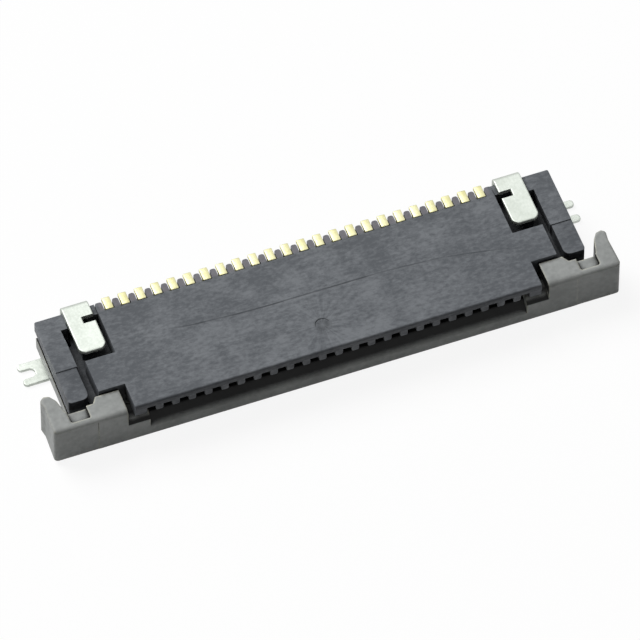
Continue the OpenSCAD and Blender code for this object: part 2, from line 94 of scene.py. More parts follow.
class Nodes:
    """Short calls for wiring one node tree."""

    def __init__(self, tree: bpy.types.NodeTree) -> None:
        """Keeps the tree that new nodes go into.

        Args:
            tree: The node tree of a material, a world or a group.
        """
        self.tree = tree

    def add(self, kind: str, **settings: object) -> bpy.types.Node:
        """Adds a node and sets its properties.

        Args:
            kind: Blender's type name of the node.
            settings: Properties of the node, by name.

        Returns:
            The new node.
        """
        made = self.tree.nodes.new(kind)
        for name, value in settings.items():
            setattr(made, name, value)
        return made

    def feed(self, target: bpy.types.NodeSocket, value: object) -> None:
        """Joins a socket to an input, or writes a number or colour on it.

        Args:
            target: The input.
            value: Output socket, number or colour.
        """
        if isinstance(value, bpy.types.NodeSocket):
            self.tree.links.new(value, target)
        elif isinstance(value, tuple) and len(value) == 3 and target.type == "RGBA":
            target.default_value = (*value, 1.0)
        else:
            target.default_value = value

    def math(self, operation: str, *values: object, clamp: bool = False) -> bpy.types.NodeSocket:
        """Adds a math node fed by sockets or numbers.

        Args:
            operation: The operation, such as MULTIPLY.
            values: Sockets or numbers, in order.
            clamp: Whether the result stays between 0 and 1.

        Returns:
            The result socket.
        """
        made = self.add("ShaderNodeMath", operation=operation, use_clamp=clamp)
        for slot, value in enumerate(values):
            self.feed(made.inputs[slot], value)
        return made.outputs[0]

    def span(self, value: bpy.types.NodeSocket, low: float, high: float,
             to_low: float = 0.0, to_high: float = 1.0) -> bpy.types.NodeSocket:
        """Maps a value from one range to another, clamped at its ends.

        Args:
            value: The incoming value.
            low: Start of the incoming range.
            high: End of the incoming range.
            to_low: Result at the start.
            to_high: Result at the end.

        Returns:
            The mapped value.
        """
        made = self.add("ShaderNodeMapRange", clamp=True)
        for slot, number in enumerate((value, low, high, to_low, to_high)):
            self.feed(made.inputs[slot], number)
        return made.outputs[0]

    def blend(self, factor: object, first: object, second: object) -> bpy.types.NodeSocket:
        """Mixes two colours.

        Args:
            factor: Share of the second colour.
            first: Socket, or the colour as red, green and blue.
            second: Socket, or the colour as red, green and blue.

        Returns:
            The mixed colour.
        """
        made = self.add("ShaderNodeMix", data_type="RGBA")
        for slot, value in ((0, factor), (6, first), (7, second)):
            self.feed(made.inputs[slot], value)
        return made.outputs[2]

    def noise(self, place: bpy.types.NodeSocket, scale: object, detail: float = 2.0,
              roughness: float = 0.5) -> bpy.types.NodeSocket:
        """Adds a noise texture.

        Args:
            place: Coordinates to read.
            scale: Features per metre, as a socket or number.
            detail: Octaves.
            roughness: Weight of the finer octaves.

        Returns:
            The noise value, around 0.5.
        """
        made = self.add("ShaderNodeTexNoise")
        for name, value in (("Vector", place), ("Scale", scale), ("Detail", detail), ("Roughness", roughness)):
            self.feed(made.inputs[name], value)
        return made.outputs["Fac"]

    def place(self) -> bpy.types.NodeSocket:
        """Gives the object's own coordinates, in metres."""
        return self.add("ShaderNodeTexCoord").outputs["Object"]

    def split(self, vector: bpy.types.NodeSocket) -> tuple[bpy.types.NodeSocket, ...]:
        """Takes a vector apart.

        Args:
            vector: The vector.

        Returns:
            Its X, Y and Z.
        """
        made = self.add("ShaderNodeSeparateXYZ")
        self.feed(made.inputs[0], vector)
        return tuple(made.outputs)

    def facing(self, kind: str) -> tuple[bpy.types.NodeSocket, ...]:
        """Gives the X, Y and Z of a normal.

        Args:
            kind: Normal, or True Normal for the face's own.
        """
        return self.split(self.add("ShaderNodeNewGeometry").outputs[kind])


def new_group(name: str, inputs: dict[str, str],
              outputs: dict[str, str]) -> tuple[Nodes, bpy.types.Node, bpy.types.Node]:
    """Starts a shader node group.

    Args:
        name: Name of the group.
        inputs: Socket kinds by input name, such as Float or Vector.
        outputs: Socket kinds by output name.

    Returns:
        The wiring helper, the group's input node and its output node.
    """
    group = bpy.data.node_groups.new(name, "ShaderNodeTree")
    for way, sockets in (("INPUT", inputs), ("OUTPUT", outputs)):
        for label, kind in sockets.items():
            group.interface.new_socket(label, in_out=way, socket_type=f"NodeSocket{kind}")
    nodes = Nodes(group)
    return nodes, nodes.add("NodeGroupInput"), nodes.add("NodeGroupOutput")


def grain_group() -> bpy.types.NodeTree:
    """Builds the grain that every finish uses.

    Height is fine noise plus 0.6 of noise eight times as coarse. Mottle leans the other way, 0.35
    fine and 0.65 coarse.

    Returns:
        The shader node group.
    """
    nodes, entry, leave = new_group(
        "grain", {"Place": "Vector", "Per Metre": "Float"}, {"Height": "Float", "Mottle": "Float"})
    place, scale = entry.outputs["Place"], entry.outputs["Per Metre"]
    fine = nodes.noise(place, scale, 3.0)
    coarse = nodes.noise(place, nodes.math("MULTIPLY", scale, 0.125), 4.0, 0.65)
    nodes.feed(leave.inputs["Height"], nodes.math("MULTIPLY_ADD", coarse, 0.6, fine))
    light = nodes.math("MULTIPLY", fine, 0.35)
    nodes.feed(leave.inputs["Mottle"], nodes.math("MULTIPLY_ADD", coarse, 0.65, light))
    return nodes.tree


def edge_group() -> bpy.types.NodeTree:
    """Builds the edge mask, for edges lightened partly by wear and partly as a painted highlight.

    The mask is 1 minus the dot product of the true normal and the normal of a rounded edge, so it
    grows where the surface turns, and noise breaks it up.

    Returns:
        The shader node group.
    """
    nodes, entry, leave = new_group(
        "rubbed_edge_and_highlight", {"Place": "Vector", "Radius": "Float"}, {"Mask": "Float", "Normal": "Vector"})
    bevel = nodes.add("ShaderNodeBevel", samples=6)
    nodes.feed(bevel.inputs["Radius"], entry.outputs["Radius"])
    flat = nodes.add("ShaderNodeNewGeometry").outputs["True Normal"]
    dot = nodes.add("ShaderNodeVectorMath", operation="DOT_PRODUCT")
    nodes.feed(dot.inputs[0], bevel.outputs[0])
    nodes.feed(dot.inputs[1], flat)
    turn = nodes.span(dot.outputs["Value"], 0.99, 0.85)
    broken = nodes.span(nodes.noise(entry.outputs["Place"], 6000.0, 3.0), 0.35, 0.6, 0.25, 1.0)
    nodes.feed(leave.inputs["Mask"], nodes.math("MULTIPLY", turn, broken))
    nodes.feed(leave.inputs["Normal"], bevel.outputs[0])
    return nodes.tree


def painted_gap_shade_group() -> bpy.types.NodeTree:
    """Builds the painted shade of gaps, a darkening of the colour where shade falls.

    Openness is the share of directions that meet nothing within the reach. The mask is 1 where
    less than the low share is open, and 0 above the high share. The floor is near to what stands on
    it, so below the lobes only faces that look up get the painted shade. Faces at mid height there
    lie in the cable slot, which has nothing pale behind it, so they count as less open than they are
    and take a darker painted shade.

    Returns:
        The shader node group.
    """
    lobes, slot_floor, slot_roof = (0.95, 1.15), (0.48, 0.72), (0.9, 1.0)
    nodes, entry, leave = new_group(
        "painted_gap_shade", {"Place": "Vector", "Reach": "Float", "Low": "Float", "High": "Float"}, {"Mask": "Float"})
    sky = nodes.add("ShaderNodeAmbientOcclusion", samples=16)
    nodes.feed(sky.inputs["Distance"], entry.outputs["Reach"])
    wide = nodes.math("SUBTRACT", entry.outputs["High"], entry.outputs["Low"])
    height = nodes.split(entry.outputs["Place"])[2]
    upward = nodes.facing("Normal")[2]
    in_slot = nodes.math("MULTIPLY", nodes.span(height, slot_floor[0] * MM, slot_floor[1] * MM, 0.0, 0.5),
                         nodes.span(height, slot_roof[0] * MM, slot_roof[1] * MM, 1.0, 0.0))
    masks = []
    for less, weight in ((0.0, nodes.span(height, lobes[0] * MM, lobes[1] * MM)),
                         (in_slot, nodes.span(upward, 0.1, 0.4))):
        above = nodes.math("SUBTRACT", nodes.math("SUBTRACT", sky.outputs["AO"], less), entry.outputs["Low"])
        share = nodes.math("DIVIDE", above, wide, clamp=True)
        masks.append(nodes.math("MULTIPLY", nodes.math("SUBTRACT", 1.0, share), weight))
    nodes.feed(leave.inputs["Mask"], nodes.math("MAXIMUM", *masks))
    return nodes.tree


@dataclass
class Groups:
    """The shared shader node groups.

    Attributes:
        grain: Grain of every finish.
        edge: Edge wear and painted highlight of every finish.
        painted_gap_shade: Painted shade in the plastics' gaps.
    """

    grain: bpy.types.NodeTree
    edge: bpy.types.NodeTree
    painted_gap_shade: bpy.types.NodeTree


@dataclass(frozen=True)
class Finish:
    """A finish with mottled colour, fine grain, uneven gloss, edges lightened by wear and a painted highlight, and
    painted shade in its gaps where gap is set.

    Attributes:
        name: Name of the material.
        slot: Name of the material slot; not used.
        dark: Colour of the darker patches.
        light: Colour of the lighter patches.
        edge_wear_and_highlight: Colour along the edges, partly wear and partly a painted highlight.
        wear_and_highlight_strength: How strongly the edges take that colour.
        roughness: Mean roughness.
        per_metre: Grain features per metre.
        bump: Strength of the grain.
        edge_radius: Radius of the rounded edges, in millimetres.
        metallic: 1 for metal, 0 for plastic.
        gap: How much darker the colour is painted deep in a gap, as shade.
        open_share: Openness at which that starts and ends.
        shine: Specular level.
    """

    name: str
    slot: str
    dark: Colour
    light: Colour
    edge_wear_and_highlight: Colour
    wear_and_highlight_strength: float
    roughness: float
    per_metre: float
    bump: float
    edge_radius: float
    metallic: float = 0.0
    gap: float = 0.0
    open_share: tuple[float, float] = (0.2, 0.7)
    shine: float = 0.5

    def colour(self, nodes: Nodes, place: bpy.types.NodeSocket, mottle: bpy.types.NodeSocket) -> bpy.types.NodeSocket:
        """Gives the colour before the edges take their wear and painted highlight.

        Args:
            nodes: The material's wiring helper.
            place: The object's own coordinates.
            mottle: The grain's mottle.

        Returns:
            The colour.
        """
        return nodes.blend(nodes.span(mottle, 0.38, 0.62), self.dark, self.light)

    def build(self, groups: Groups) -> bpy.types.Material:
        """Makes the material.

        Args:
            groups: The shared groups.

        Returns:
            The finished material.
        """
        material = bpy.data.materials.new(self.name)
        material.use_nodes = True
        nodes = Nodes(material.node_tree)
        shader = material.node_tree.nodes["Principled BSDF"]
        shader.inputs["Metallic"].default_value = self.metallic
        shader.inputs["Specular IOR Level"].default_value = self.shine
        place = nodes.place()
        grain = nodes.add("ShaderNodeGroup", node_tree=groups.grain)
        nodes.feed(grain.inputs["Place"], place)
        nodes.feed(grain.inputs["Per Metre"], self.per_metre)
        edge = nodes.add("ShaderNodeGroup", node_tree=groups.edge)
        nodes.feed(edge.inputs["Place"], place)
        nodes.feed(edge.inputs["Radius"], self.edge_radius * MM)
        mottle = grain.outputs["Mottle"]
        # The edges are lightened: partly rubbed wear, partly a painted highlight where rounded edges catch the light.
        wear_and_highlight_strength = nodes.math("MULTIPLY", edge.outputs["Mask"], self.wear_and_highlight_strength)
        colour = nodes.blend(wear_and_highlight_strength, self.colour(nodes, place, mottle), self.edge_wear_and_highlight)
        # Painted shade: where little of the surroundings is open, the colour goes towards near black.
        if self.gap:
            painted_gap_shade = nodes.add("ShaderNodeGroup", node_tree=groups.painted_gap_shade)
            for name, value in (("Place", place), ("Reach", SHADE_REACH * MM), ("Low", self.open_share[0]),
                                ("High", self.open_share[1])):
                nodes.feed(painted_gap_shade.inputs[name], value)
            deep = nodes.math("MULTIPLY", painted_gap_shade.outputs["Mask"], self.gap)
            colour = nodes.blend(deep, colour, PAINTED_SHADE_COLOUR)
        nodes.feed(shader.inputs["Base Color"], colour)
        gloss = nodes.span(mottle, 0.3, 0.7, self.roughness + GLOSS_SWING, self.roughness - GLOSS_SWING)
        nodes.feed(shader.inputs["Roughness"], gloss)
        bump = nodes.add("ShaderNodeBump")
        nodes.feed(bump.inputs["Strength"], self.bump)
        nodes.feed(bump.inputs["Distance"], GRAIN_DEPTH * MM)
        nodes.feed(bump.inputs["Height"], grain.outputs["Height"])
        nodes.feed(bump.inputs["Normal"], edge.outputs["Normal"])
        nodes.feed(shader.inputs["Normal"], bump.outputs[0])
        return material


@dataclass(frozen=True)
class HousingPlastic(Finish):
    """The housing's plastic, with the marks that the melt leaves round its gate and a painted sheen there.

    Attributes:
        gate_x: Place of the gate along X, in millimetres.
        gate_y: Place of the gate along Y, in millimetres.
        ring_r: Radius of the scorched ring round the gate, in millimetres.
        ring_w: How far the ring fades to each side, in millimetres.
        streaks: Where the streaks start to fade and where they end, in millimetres from the gate.
        line_bend: Bend of the weld line, which follows y = -bend * x * x * x in millimetres.
        line_ends: Where the line fades out: left end, full, full, right end, in millimetres.
        line_w: Half width of the line, where it starts to fade and where it ends, in millimetres.
        comb_y: Where the comb teeth start, in millimetres.
        comb_x: Half length of the comb, in millimetres.
        comb: Paler colour of the thin comb teeth.
        lip_painted_shade_y: Where the painted shade on the cover's forward faces starts and is full, in millimetres.
        lip_painted_shade: Colour of the painted shade on the cover's forward-facing front.
        top: Heights between which a face starts to count as the top, in millimetres.
        weights: How much each part of the pattern moves the colour from dark to light: fine scuffs,
            coarse scuffs, patches, the grain's mottle and the streaks.
    """

    gate_x: float = -0.19
    gate_y: float = -1.175
    ring_r: float = 0.13
    ring_w: float = 0.17
    streaks: tuple[float, float] = (0.3, 3.2)
    line_bend: float = 0.0026
    line_ends: tuple[float, float, float, float] = (-4.6, -3.4, 5.4, 6.4)
    line_w: tuple[float, float] = (0.012, 0.034)
    comb_y: float = 1.49
    comb_x: float = 6.0
    comb: Colour = (0.25, 0.235, 0.26)
    lip_painted_shade_y: tuple[float, float] = (-1.85, -1.95)
    lip_painted_shade: Colour = (0.02, 0.02, 0.022)
    top: tuple[float, float] = (1.6, 1.64)
    weights: tuple[float, ...] = (2.4, 1.3, 2.0, 1.4, 2.9)

    def marks(self, nodes: Nodes, place: bpy.types.NodeSocket) -> tuple[bpy.types.NodeSocket, ...]:
        """Works out the flow streaks, the weld line and the gate's ring.

        Streaks are noise over the angle round the gate, fading with distance from it. The line is
        the set of points near y = -line_bend * x * x * x, moved a little by noise.

        Args:
            nodes: The material's wiring helper.
            place: The object's own coordinates.

        Returns:
            The streak value, around 0, the masks of the weld line and of the gate's scorched ring,
            and 1 at the gate falling to 0 at 6 mm, which sets a painted sheen.
        """
        x, y, z = nodes.split(place)
        top = nodes.span(z, self.top[0] * MM, self.top[1] * MM)

        aside = nodes.math("SUBTRACT", x, self.gate_x * MM)
        off = nodes.math("SUBTRACT", y, self.gate_y * MM)
        angle = nodes.math("ARCTAN2", off, aside)
        square = nodes.math("MULTIPLY_ADD", aside, aside, nodes.math("MULTIPLY", off, off))
        reach = nodes.math("POWER", square, 0.5)
        polar = nodes.add("ShaderNodeCombineXYZ")
        nodes.feed(polar.inputs[0], nodes.math("MULTIPLY", angle, 3.0))
        nodes.feed(polar.inputs[1], nodes.math("MULTIPLY", reach, 500.0))
        streak = nodes.math("SUBTRACT", nodes.noise(polar.outputs[0], 2.0, 4.0, 0.6), 0.5)
        fade = nodes.span(reach, self.streaks[0] * MM, self.streaks[1] * MM, 1.0, 0.0)
        streak = nodes.math("MULTIPLY", streak, nodes.math("MULTIPLY", fade, fade))

        patches = nodes.noise(place, 700.0, 3.0)
        wobble = nodes.math("MULTIPLY", nodes.math("SUBTRACT", patches, 0.5), 0.09 * MM)
        bend = nodes.math("MULTIPLY", nodes.math("POWER", nodes.math("ABSOLUTE", x), 3.0), self.line_bend / MM ** 2)
        line = nodes.math("MULTIPLY_ADD", nodes.math("SIGN", x), bend, y)
        gap = nodes.math("ABSOLUTE", nodes.math("ADD", line, wobble))
        thin = nodes.span(gap, self.line_w[0] * MM, self.line_w[1] * MM, 1.0, 0.0)
        left, left_full, right_full, right = (end * MM for end in self.line_ends)
        ends = nodes.math("MULTIPLY", nodes.span(x, left, left_full), nodes.span(x, right, right_full))
        broken = nodes.span(patches, 0.4, 0.55, 0.4, 1.0)
        mask = nodes.math("MULTIPLY", nodes.math("MULTIPLY", thin, ends), nodes.math("MULTIPLY", broken, top))

        ring = nodes.math("ABSOLUTE", nodes.math("SUBTRACT", reach, self.ring_r * MM))
        ring = nodes.math("MULTIPLY", nodes.span(ring, 0.02 * MM, self.ring_w * MM, 1.0, 0.0), top)
        uneven = nodes.span(nodes.noise(polar.outputs[0], 5.0, 3.0), 0.35, 0.6, 0.35, 0.95)
        ring = nodes.math("MULTIPLY", ring, uneven)
        return nodes.math("MULTIPLY", streak, top), mask, ring, nodes.span(reach, 0.0, 6.0 * MM, 1.0, 0.0)

    def colour(self, nodes: Nodes, place: bpy.types.NodeSocket, mottle: bpy.types.NodeSocket) -> bpy.types.NodeSocket:
        """Adds the melt's marks, a painted sheen round the gate, the paler comb and a painted shade on the cover's
        front to the mottled colour.

        Args:
            nodes: The material's wiring helper.
            place: The object's own coordinates.
            mottle: The grain's mottle.

        Returns:
            The colour.
        """
        streak, line, gate, near = self.marks(nodes, place)
        drawn = nodes.add("ShaderNodeVectorMath", operation="MULTIPLY")
        nodes.feed(drawn.inputs[0], place)
        nodes.feed(drawn.inputs[1], (0.5, 1.0, 1.0))
        patterns = (nodes.noise(drawn.outputs[0], 9000.0, 3.0, 0.7), nodes.noise(drawn.outputs[0], 2600.0, 4.0, 0.7),
                    nodes.noise(place, 600.0, 5.0, 0.7), mottle)
        # Painted sheen: the face is lighter towards the gate, out to 6 mm.
        patch = nodes.math("MULTIPLY_ADD", near, 0.34, 0.3)
        for pattern, weight in zip(patterns, self.weights):
            patch = nodes.math("MULTIPLY_ADD", nodes.math("SUBTRACT", pattern, 0.5), weight, patch)
        patch = nodes.math("MULTIPLY_ADD", streak, self.weights[-1], patch)
        base = nodes.blend(nodes.math("MAXIMUM", nodes.math("MINIMUM", patch, 1.0), 0.0), self.dark, self.light)

        x, y = nodes.split(place)[:2]
        comb = nodes.span(y, self.comb_y * MM, (self.comb_y + 0.06) * MM, 0.0, 0.6)
        row = nodes.span(nodes.math("ABSOLUTE", x), self.comb_x * MM, (self.comb_x + 0.05) * MM, 1.0, 0.0)
        base = nodes.blend(nodes.math("MULTIPLY", comb, row), base, self.comb)

        # Painted shade: forward faces at the cover's front are darkened, where little light falls.
        forward = nodes.span(nodes.facing("True Normal")[1], -0.3, -0.8, 0.0, 0.45)
        at_lip = nodes.span(y, self.lip_painted_shade_y[0] * MM, self.lip_painted_shade_y[1] * MM)
        base = nodes.blend(nodes.math("MULTIPLY", forward, at_lip), base, self.lip_painted_shade)
        dull = tuple(0.4 * part for part in self.dark)
        return nodes.blend(nodes.math("MAXIMUM", nodes.math("MULTIPLY", line, 0.8), gate), base, dull)


# ---------------------------------------------------------------------------
# Meshes
# ---------------------------------------------------------------------------

def grid_mesh(name: str, *shells: np.ndarray) -> bpy.types.Object:
    """Makes closed surfaces from rings of points.

    Point (i, j) is ring i, place j round it. Each quad joins j and j + 1 on rings i and i + 1, and
    a flat face closes each end.

    Args:
        name: Name of the piece.
        shells: Arrays of shape (rings, points, 3), in millimetres, each a closed shell.

    Returns:
        The new object, at the origin.
    """
    points, faces, start = [], [], 0
    for rings in shells:
        count, around = rings.shape[:2]
        i, j = np.meshgrid(np.arange(count - 1), np.arange(around), indexing="ij")
        k = (j + 1) % around
        quads = np.stack([i * around + j, i * around + k, (i + 1) * around + k, (i + 1) * around + j], axis=-1)
        faces += (quads.reshape(-1, 4) + start).tolist()
        last = start + (count - 1) * around
        faces += [list(range(start, start + around))[::-1], list(range(last, last + around))]
        points.append(rings.reshape(-1, 3) * MM)
        start += count * around
    mesh = bpy.data.meshes.new(name)
    mesh.from_pydata(np.concatenate(points).tolist(), [], faces)
    shell = bmesh.new()
    shell.from_mesh(mesh)
    bmesh.ops.recalc_face_normals(shell, faces=shell.faces)
    shell.to_mesh(mesh)
    shell.free()
    piece = bpy.data.objects.new(name, mesh)
    bpy.context.scene.collection.objects.link(piece)
    return piece


def shade(piece: bpy.types.Object, degrees: float = 35.0) -> None:
    """Shades a piece smooth, with hard edges where it turns more than the given angle.

    Args:
        piece: The piece.
        degrees: Angle at which an edge is hard.
    """
    mesh = piece.data
    mesh.polygons.foreach_set("use_smooth", np.ones(len(mesh.polygons), bool))
    mesh.set_sharp_from_angle(angle=math.radians(degrees))
    weights = piece.modifiers.new("flat_faces_lead", "WEIGHTED_NORMAL")
    weights.keep_sharp = True
    weights.weight = 90


def round_corners(points: list[tuple[float, float, float]], steps: int = 6) -> np.ndarray:
    """Rounds the corners of a closed outline.

    A corner of radius r starts r / tan(half its angle) from its point on both sides. The arc runs
    between the two, as centre + r * (cos a, sin a).

    Args:
        points: Corners as x, y and radius.
        steps: Straight pieces in an arc.

    Returns:
        The points of the outline.
    """
    corners = np.array(points)
    at, radius = corners[:, :2], corners[:, 2]
    u = np.roll(at, 1, axis=0) - at
    v = np.roll(at, -1, axis=0) - at
    u /= np.linalg.norm(u, axis=1)[:, None]
    v /= np.linalg.norm(v, axis=1)[:, None]
    half = np.arccos(np.clip((u * v).sum(1), -1, 1)) / 2
    reach = (radius / np.tan(half))[:, None]
    middle = u + v
    middle /= np.maximum(np.linalg.norm(middle, axis=1), 1e-9)[:, None]
    centre = at + middle * (radius / np.sin(half))[:, None]
    first = at + u * reach - centre
    last = at + v * reach - centre
    start = np.arctan2(first[:, 1], first[:, 0])
    sweep = (np.arctan2(last[:, 1], last[:, 0]) - start + math.pi) % (2 * math.pi) - math.pi
    share = np.linspace(0, 1, steps + 1)
    angle = start[:, None] + sweep[:, None] * share
    arcs = centre[:, None] + radius[:, None, None] * np.stack([np.cos(angle), np.sin(angle)], axis=-1)
    return np.concatenate([arc if size > 0 else arc[:1] for arc, size in zip(arcs, radius)])


def rolled_sheet(outline: np.ndarray, low: float, high: float, roll: float, steps: int = 3) -> np.ndarray:
    """Works out a stamped sheet whose edges are rolled over.

    The outline is carried through the thickness. Ring t lies at height low + roll * (1 - cos a) and
    is drawn in by roll * (1 - sin a) along the outline's normals, a running from 0 to 90 degrees;
    the upper edge mirrors the lower one. One more ring inside each face keeps the face flat.

    Args:
        outline: Points of the outline, anticlockwise.
        low: Height of the lower face.
        high: Height of the upper face.
        roll: Radius of the rolled edges.
        steps: Rings in each rolled edge.

    Returns:
        Rings of points, the third coordinate being the height.
    """
    along = np.roll(outline, -1, axis=0) - outline
    out = np.stack([along[:, 1], -along[:, 0]], axis=1)
    out /= np.linalg.norm(out, axis=1)[:, None]
    normal = out + np.roll(out, 1, axis=0)
    normal /= np.maximum((normal * out).sum(1), 0.3)[:, None]
    a = np.linspace(0, math.pi / 2, steps + 1)
    inset = roll * (1 - np.sin(a))
    rise = roll * (1 - np.cos(a))
    inset = np.concatenate([[FLAT_RING * roll], inset, inset[::-1], [FLAT_RING * roll]])
    height = np.concatenate([[low], low + rise, high - rise[::-1], [high]])
    flat = outline[None] - inset[:, None, None] * normal[None]
    return np.dstack([flat, np.broadcast_to(height[:, None], flat.shape[:2])])


# ---------------------------------------------------------------------------
# Pieces
# ---------------------------------------------------------------------------

@dataclass
class Dresser:
    """Puts finishes on pieces and CAD nodes.

    Attributes:
        materials: Built materials by finish name.
    """

    materials: dict[str, bpy.types.Material]

    def dress(self, piece: bpy.types.Object, finish: Finish) -> None:
        """Gives an object one finish.

        Args:
            piece: A new piece or a CAD node's object.
            finish: Its finish.
        """
        piece.data.materials.clear()
        piece.data.materials.append(self.materials[finish.name])

    def add(self, piece: bpy.types.Object, finish: Finish, body: str, *nodes: str) -> None:
        """Dresses a new piece, lets it ride and hides the nodes that it replaces.

        Args:
            piece: The new piece.
            finish: Its finish.
            body: The body that it moves with.
            nodes: CAD nodes that it replaces.
        """
        self.dress(piece, finish)
        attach(piece, body)
        if nodes:
            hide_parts(*nodes)
        LOG.info("%s: %d faces, rides on %s", piece.name, len(piece.data.polygons), body)


@dataclass
class Moulding:
    """A moulded piece of the CAD model with its sharp edges broken.

    Attributes:
        node: Name of the CAD node.
        body: The body that it moves with.
        finish: Its finish.
        edge: Width of the broken edges.
    """

    node: str
    body: str
    finish: Finish
    edge: float = 0.012

    def build(self, dresser: Dresser) -> None:
        """Copies the node, joins its loose triangles and bevels the sharp edges.

        Args:
            dresser: Puts the finish on.
        """
        piece = bpy.data.objects.new(f"{self.node}_moulding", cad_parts[self.node].data.copy())
        bpy.context.scene.collection.objects.link(piece)
        shell = bmesh.new()
        shell.from_mesh(piece.data)
        bmesh.ops.remove_doubles(shell, verts=shell.verts, dist=0.0005 * MM)
        bmesh.ops.dissolve_limit(shell, angle_limit=math.radians(1), verts=shell.verts, edges=shell.edges)
        shell.to_mesh(piece.data)
        shell.free()
        bevel = piece.modifiers.new("edges", "BEVEL")
        bevel.width = self.edge * MM
        bevel.segments = 2
        bevel.limit_method = "ANGLE"
        bevel.angle_limit = math.radians(40)
        bevel.use_clamp_overlap = True
        shade(piece, 30.0)
        dresser.add(piece, self.finish, self.body, self.node)


@dataclass
class Contacts:
    """The row of contacts, punched flat from one strip, with the rolled edges of a punched part.

    Heights count from the bottom plane and depths from the front edge, as on the CAD contacts.

    Attributes:
        count: Number of contacts.
        finish: Their finish.
        roll: Radius of the rolled edges.
        burr: How far the punched and plated edge stands out on each side.
        cover_d: Depth of the housing's cover.
        roof: Height of the beam's outer side, just below the cover.
        lobe_z: Height of the walls' lower side.
        floor_z: Height of the far wall's inner side.
        top: Height of the solder foot's face.
        foot_end: Where the foot ends.
        foot_t: Height of the foot.
        point_y: Place of the contact point.
        point_half: Half width of the contact point's flat tip.
        point_run: Half width of the whole contact point.
        point_drop: How far it stands out below the walls.
        rise_gap: Gap between the cover and the strip that rises behind it.
        base: Front and rear of the pressed-in base.
        anchor: Length of the anchor arm in front of the base.
        anchor_t: Height of the anchor arm.
    """

    count: int
    finish: Finish
    roll: float = 0.02
    burr: float = 0.02
    cover_d: float = 3.55
    roof: float = 1.42
    lobe_z: float = 1.175
    floor_z: float = 0.28
    top: float = 1.67
    foot_end: float = 4.0
    foot_t: float = 0.15
    point_y: float = 0.95
    point_half: float = 0.1
    point_run: float = 0.3
    point_drop: float = 0.08
    rise_gap: float = 0.02
    base: tuple[float, float] = (2.75, 3.2)
    anchor: float = 1.2
    anchor_t: float = 0.11

    def outline(self) -> np.ndarray:
        """Works out the side of one contact: beam, base, anchor arm and foot.

        Returns:
            Points of the outline as depth and height, with rounded corners.
        """
        front, rear = self.base
        tip, rise = self.lobe_z - self.point_drop, self.cover_d + self.rise_gap
        under = self.roof - self.foot_t
        beam_tip, anchor_tip = self.point_y - self.point_run, front - self.anchor
        foot_under = self.top - self.foot_t
        return round_corners([
            (beam_tip, self.lobe_z + 0.1, 0.03), (beam_tip, self.lobe_z, 0.03),
            (self.point_y - self.point_half, tip, 0.06), (self.point_y + self.point_half, tip, 0.06),
            (self.point_y + self.point_run, self.lobe_z, 0.05), (front, self.roof - 0.17, 0.1),
            (front, self.floor_z + 0.14, 0.1), (anchor_tip, self.floor_z + self.anchor_t, 0.03),
            (anchor_tip, self.floor_z, 0.02), (rear, self.floor_z, 0.03), (rear, under, 0.08),
            (rise + self.foot_t, under, 0.04), (rise + self.foot_t + 0.02, foot_under, 0.04),
            (self.foot_end, foot_under, 0.02), (self.foot_end, self.top, 0.05),
            (rise, self.top, 0.02), (rise, self.roof, 0.03), (self.point_y + 0.5, self.roof, 0.03),
        ], 5)

    def build(self, dresser: Dresser) -> None:
        """Rolls the outline out sideways for each contact.

        The sheet's height is X here, so (depth, height, X) is turned to (X, depth, height).

        Args:
            dresser: Puts the finish on.
        """
        outline = self.outline()
        front = CAD_BOX[0][1] / MM
        for number in range(1, self.count + 1):
            node = f"contact_{number:02d}"
            low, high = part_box(node)
            rings = rolled_sheet(outline, low[0] / MM - self.burr, high[0] / MM + self.burr, self.roll)
            placed = np.stack([rings[..., 2], rings[..., 0] + front, rings[..., 1]], axis=-1)
            piece = grid_mesh(f"{node}_strip", placed)
            shade(piece)
            dresser.add(piece, self.finish, "housing", node)


